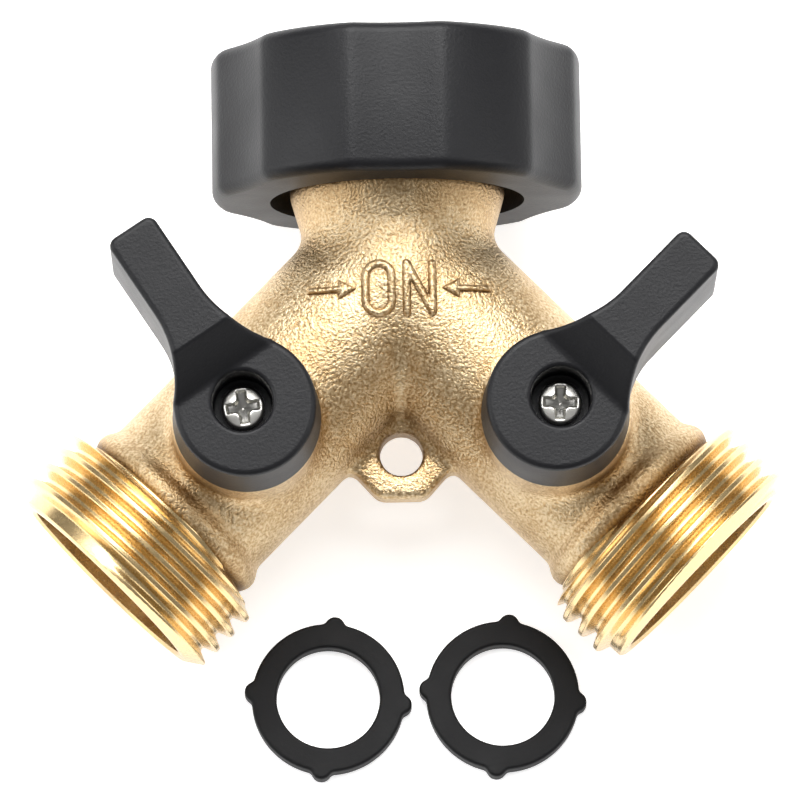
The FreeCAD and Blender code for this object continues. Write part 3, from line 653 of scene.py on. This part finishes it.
def nut_path(given, row, turn):
    """Bottom, rounded rims, fluted side, top, then the bore with its two key slots."""
    flutes = turn * float(FLUTES) - 1.5
    off = (flutes - flutes.math("ROUND")) * (math.tau / FLUTES)
    centre = given["Radius"] - given["Flute Depth"] + given["Flute Radius"]
    half = centre * off.math("SINE")
    sag = (given["Flute Radius"].math("POWER", 2.0) - half * half).math("SQRT")
    flute = centre * off.math("COSINE") - sag
    # flute and full round run into each other softly
    apart = flute - given["Radius"]
    outer = (flute + given["Radius"] - (apart * apart + 0.05).math("SQRT")) * 0.5
    edge = given["Edge"]
    # rows 1 to 7 round the lower rim and rows 8 to 14 the upper one
    rim = ((row - 1.0) / 6.0).within_unit() * (math.pi / 2)
    brow = ((row - 8.0) / 6.0).within_unit() * (math.pi / 2)
    slot = ((turn * math.tau).math("SINE").math("ABSOLUTE") * -1.0).past(-0.095) * KEY_SLOT_DEEP
    radius = given["Hole Radius"] + row.within_unit() * (outer - edge - given["Hole Radius"])
    radius = radius + edge * rim.math("SINE") - edge * (brow.math("COSINE") * -1.0 + 1.0)
    bore, low = given["Bore Radius"], given["Floor"]
    radius = radius + (row - 14.0).within_unit() * (bore - outer + edge)
    radius = radius + (row - 16.0).within_unit() * slot
    radius = radius + (row - 18.0).within_unit() * (given["Hole Radius"] - bore - slot)
    height = given["Bottom"] + edge * (rim.math("COSINE") * -1.0 + 1.0) + edge * brow.math("SINE")
    height = height + (row - 7.0).within_unit() * (given["Top"] - given["Bottom"] - edge * 2.0)
    height = height - (row - 15.0).within_unit() * KEY_SLOT_START
    height = height - (row - 17.0).within_unit() * (given["Top"] - KEY_SLOT_START - low)
    return radius, height - (row - 19.0).within_unit() * (low - given["Bottom"])


def nut_grip():
    """Moulded grip of the swivel nut, with six shallow flutes for the fingers."""
    sizes = {"Radius": NUT_R, "Bottom": NUT_BOTTOM, "Top": NUT_TOP, "Edge": 1.3, "Flute Depth": 1.0,
             "Flute Radius": 27.0, "Hole Radius": 13.5, "Bore Radius": 15.55, "Floor": 12.1}
    tree = lathe_tree("Nut grip", sizes, NUT_ROWS, nut_path)
    values = {"Facets": 360, "Finish": NYLON}
    grip = grown("nut_grip", tree, values, matrix_of(INLET_AXIS, Vector((1, 0, 0))))
    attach(grip, "swivel_nut")
    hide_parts("swivel_nut_grip")


# ---------------------------------------------------------------- levers and screws
LEVER_TURN = {"left": 123.0, "right": 45.0}
LEVER_LONG = 20.7
HUB_SHIFT = 0.55
HUB_R = 7.25
HUB_R_BACK = 7.7
HUB_BACK = 17.5
HUB_FRONT = 27.0
BLADE_HALF = 2.75
BLADE_FRONT = 31.0
BLADE_BACK = 15.0
BLADE_DRAFT = 0.012
BACK_STEP = 8.4
RAMP_START = 3.4
FLARE_R = 12.0
CORE_MIDDLE = 14.0
CORE_HALF_LONG = 4.6
CORE_HALF_WIDE = 1.3
RECESS_R = 3.1
RECESS_FLOOR = 21.5
SOCKET_HALF = 2.8
SCREW_HOLE_R = 1.3
SCREW_TURN = {"left": 8.0, "right": -2.0}
SCREW_R = 1.25
HEAD_R = 2.2
HEAD_HIGH = 1.45
HEAD_DOME_R = 9.0
CROSS_HALF_WIDE = 0.5
CROSS_HALF_LONG = 1.9


def hub_field(x, y, z):
    """Round hub over the stem, a little wider at the back."""
    radius = np.interp(z, [HUB_BACK, HUB_FRONT], [HUB_R_BACK, HUB_R])
    middle, half = (HUB_BACK + HUB_FRONT) / 2, (HUB_FRONT - HUB_BACK) / 2
    return round_common(norm(x + HUB_SHIFT, y) - radius, np.abs(z - middle) - half, radius=0.55)


def blade_plan(x, y, z):
    """Outline of the blade, which flares into the hub along two arcs."""
    flare_x = math.sqrt((HUB_R + FLARE_R) ** 2 - (BLADE_HALF + FLARE_R) ** 2) - HUB_SHIFT
    touch_x = HUB_R * (flare_x + HUB_SHIFT) / (HUB_R + FLARE_R) - HUB_SHIFT
    draft = BLADE_DRAFT * (z - BLADE_FRONT)
    bar = slab(x - LEVER_LONG / 2, y, z * 0, LEVER_LONG / 2 - draft, BLADE_HALF - draft, 9.0, radius=1.0)
    scoop = FLARE_R - norm(x - flare_x, np.abs(y) - BLADE_HALF - FLARE_R)
    web = np.maximum(np.maximum(x - flare_x, touch_x - 0.6 - x), np.maximum(scoop, np.abs(y) - 6.0))
    return np.minimum(np.minimum(bar, web + draft), norm(x + HUB_SHIFT, y) - HUB_R + 0.03)


def blade_profile(x, z):
    """Side view of the blade: a ramp up from the hub, and a step at the back."""
    half = math.sqrt(0.5)
    ramp = (z - HUB_FRONT) * half - (x - RAMP_START) * half
    top = np.maximum(ramp, z - BLADE_FRONT)
    back = np.maximum(BLADE_BACK - z, (HUB_BACK - z) * half - (x - BACK_STEP) * half)
    return np.maximum(top, np.maximum(back, RAMP_START - 3.0 - x))


def lever_field(x, y, z):
    """One lever in its own frame: X along the blade, Z up the stem."""
    out = norm(x, y)
    blade = round_common(blade_plan(x, y, z), blade_profile(x, z), radius=0.5)
    solid = blend_join(hub_field(x, y, z), blade, radius=0.25)
    core = slab(x - CORE_MIDDLE, y, z - 20.0, CORE_HALF_LONG, CORE_HALF_WIDE, 8.5, radius=0.4)
    recess = np.maximum(out - RECESS_R - 0.5 * np.maximum(z - HUB_FRONT + 0.3, 0), RECESS_FLOOR - z)
    socket = slab(x, y, z - 18.0, SOCKET_HALF, SOCKET_HALF, 2.3, radius=0.2)
    screw_hole = np.maximum(out - SCREW_HOLE_R, np.abs(z - 19) - 4)
    hollow = np.minimum(np.minimum(core, recess), np.minimum(socket, screw_hole))
    return round_common(solid, -hollow, radius=0.15)


def screw_field(x, y, z):
    """Pan-head screw: domed head with a tapered cross, and its shank down the stem."""
    out = norm(x, y)
    rise = z - RECESS_FLOOR
    dome = norm(out, z - RECESS_FLOOR + HEAD_DOME_R - HEAD_HIGH) - HEAD_DOME_R
    head = round_common(np.maximum(out - HEAD_R, -rise), np.maximum(dome, rise - HEAD_HIGH), radius=0.25)
    shank = np.maximum(out - SCREW_R, np.abs(z - 18.1) - 3.5)
    solid = np.minimum(head, shank)
    depth = np.clip(1.5 - rise, 0, 1.2)
    wide, long = CROSS_HALF_WIDE - 0.14 * depth, CROSS_HALF_LONG - 0.6 * depth
    bar_x = np.maximum(np.abs(x) - long, np.abs(y) - wide)
    bar_y = np.maximum(np.abs(y) - long, np.abs(x) - wide)
    cross = np.maximum(blend_join(bar_x, bar_y, radius=0.55), 0.2 + 0.45 * out - rise)
    return round_common(solid, -cross, radius=0.1)


def levers():
    """Both levers from one mould, each on its own stem with its own screw."""
    lever_mesh = skin_of(lever_field, (-8.3, -8.3, 14.6), (20.9, 8.3, 31.6), LEVER_STEP)
    screw_mesh = skin_of(screw_field, (-2.5, -2.5, 14.3), (2.5, 2.5, 23.3), SCREW_STEP)
    for side in SIDES:
        place = BENCH @ Matrix.Translation(Vector(arm_point(side, STEM_PLACE)))
        lever_place = place @ Matrix.Rotation(math.radians(LEVER_TURN[side]), 4, "Z")
        screw_place = place @ Matrix.Rotation(math.radians(SCREW_TURN[side]), 4, "Z")
        lever = new_piece(side + "_moulded_lever", *lever_mesh, lever_place, NYLON)
        screw = new_piece(side + "_cross_screw", *screw_mesh, screw_place, ZINC)
        for piece, node, slot in ((lever, side + "_lever", "black_nylon"),
                                  (screw, side + "_lever_screw", "zinc_steel")):
            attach(piece, side + "_valve")
            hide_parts(node)


# ---------------------------------------------------------------- loose washers
WASHER_R = 8.15
WASHER_HOLE_R = 5.5
WASHER_HALF_THICK = 1.0
NUB_R = 1.05
NUB_PLACE = 7.9
WASHER_TURN = math.radians(-6.0)


def washer_field(x, y, z):
    """Flat rubber washer with four nubs on its rim."""
    out = norm(x, y)
    disc = out - WASHER_R
    for dx, dy in ((1, 0), (0, 1)):
        along, across = x * dx + y * dy, x * dy - y * dx
        disc = blend_join(disc, norm(np.abs(along) - NUB_PLACE, across) - NUB_R, radius=0.35)
    solid = round_common(disc, np.abs(z - WASHER_HALF_THICK) - WASHER_HALF_THICK, radius=0.28)
    return round_common(solid, WASHER_HOLE_R - out, radius=0.25)


def loose_washers():
    """The two spare washers, flat on the bench."""
    verts, faces = skin_of(washer_field, (-9.5, -9.5, -0.4), (9.5, 9.5, 2.4), WASHER_STEP)
    for side in SIDES:
        low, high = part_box("spare_washer_" + side)
        middle = (Vector(low) + Vector(high)) / 2
        middle.z = low[2]
        matrix = Matrix.Translation(middle) @ Matrix.Rotation(WASHER_TURN, 4, "Z") @ Matrix.Scale(MM, 4)
        item = new_piece(side + "_rubber_washer", verts, faces, matrix, RUBBER)
        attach(item, side + "_spare")
        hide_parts("spare_washer_" + side)


# ---------------------------------------------------------------- pieces kept from the frame
KEPT = {
    "inlet_tail": TURNED, "swivel_nut_insert": TURNED, "inlet_washer": RUBBER,
    "inner_seat": PTFE, "outer_seat": PTFE, "seat_retainer": TURNED, "valve_ball": CHROME,
    "valve_stem": TURNED, "stem_o_rings": RUBBER, "thrust_washer": PTFE,
}


def coat_kept_nodes():
    """Finishes for the inner pieces whose CAD shape is kept."""
    for name, node in frame["nodes"].items():
        finish = KEPT.get(name.replace("left_", "").replace("right_", ""))
        if finish:
            node.data.materials.clear()
            node.data.materials.append(finish)


casting()
raised_marks()
outlet_threads()
nut_grip()
levers()
loose_washers()
coat_kept_nodes()

# ---------------------------------------------------------------- floor, light and camera
CAMERA_AZIMUTH = math.radians(-0.3)
CAMERA_ELEVATION = math.radians(-8.9)
CAMERA_ROLL = math.radians(-0.927)
CAMERA_DISTANCE = 739.0
CAMERA_LENS = 314.25
LOOK_POINT = Vector((-0.04, -12.221, 0.0))
FLOOR_HALF = 3.0
FLOOR_GLOW = 0.62
WORLD_STRENGTH = 0.26
# name: place and size in metres, power in watts; all aim just above the bench's middle
LAMPS = {
    "top box": ((0.0, 0.34, 0.56), (0.5, 0.34), 5.0),
    "front box": ((0.0, 0.1, 0.75), (0.45, 0.14), 1.6),
    "left box": ((-0.55, -0.05, 0.35), (0.3, 0.5), 2.0),
    "right box": ((0.55, -0.1, 0.4), (0.3, 0.5), 1.2),
}
LAMP_AIM = Vector((0, 0, 0.01))


def pale_floor():
    """A plain white table that shows as white and keeps a soft shadow."""
    mesh = bpy.data.meshes.new("floor")
    half = FLOOR_HALF
    corners = [(-half, -half, 0), (half, -half, 0), (half, half, 0), (-half, half, 0)]
    mesh.from_pydata(corners, [], [(0, 1, 2, 3)])
    floor = bpy.data.objects.new("floor", mesh)
    bpy.context.scene.collection.objects.link(floor)
    material, tree, shader = new_finish("White table", "F4F4F4", Roughness=0.9)
    path = add_node(tree, "ShaderNodeLightPath")
    seen = Quantity(tree, path.outputs["Is Camera Ray"]) + Quantity(tree, path.outputs["Is Glossy Ray"])
    seen = (seen + Quantity(tree, path.outputs["Is Transmission Ray"])).within_unit()
    shader.inputs["Emission Color"].default_value = linear("FFFFFF")
    tree.links.new((seen * FLOOR_GLOW).socket, shader.inputs["Emission Strength"])
    mesh.materials.append(material)


def soft_lamp(name, place, size, power):
    """A rectangular soft box."""
    lamp = bpy.data.lights.new(name, "AREA")
    lamp.shape = "RECTANGLE"
    lamp.size, lamp.size_y = size
    lamp.energy = power
    item = bpy.data.objects.new(name, lamp)
    item.location = place
    item.rotation_euler = (LAMP_AIM - Vector(place)).to_track_quat("-Z", "Y").to_euler()
    bpy.context.scene.collection.objects.link(item)


def studio():
    """A dim white room and four soft boxes."""
    world = bpy.data.worlds.new("studio")
    world.use_nodes = True
    background = world.node_tree.nodes["Background"]
    background.inputs["Color"].default_value = linear("FFFFFF")
    background.inputs["Strength"].default_value = WORLD_STRENGTH
    bpy.context.scene.world = world
    for name, (place, size, power) in LAMPS.items():
        soft_lamp(name, place, size, power)


def stand_camera():
    """The camera nearly over the splitter, a little below its middle."""
    azimuth, elevation, roll = CAMERA_AZIMUTH, CAMERA_ELEVATION, CAMERA_ROLL
    back = Vector((math.sin(azimuth) * math.cos(elevation), math.sin(elevation),
                   math.cos(azimuth) * math.cos(elevation)))
    right = (-back).cross(Vector((0, 1, 0))).normalized()
    up = right.cross(-back)
    across = right * math.cos(roll) + up * math.sin(roll)
    upright = up * math.cos(roll) - right * math.sin(roll)
    turn = BENCH.to_3x3().normalized()
    axes = Matrix((turn @ across, turn @ upright, turn @ back)).transposed().to_4x4()
    camera = bpy.data.objects.new("camera", bpy.data.cameras.new("camera"))
    camera.matrix_world = Matrix.Translation(BENCH @ (LOOK_POINT + back * CAMERA_DISTANCE)) @ axes
    camera.data.lens = CAMERA_LENS
    camera.data.sensor_width = 36.0
    camera.data.clip_start = 0.05
    bpy.context.scene.collection.objects.link(camera)
    bpy.context.scene.camera = camera


pale_floor()
studio()
stand_camera()
bpy.context.scene.view_settings.view_transform = "Standard"
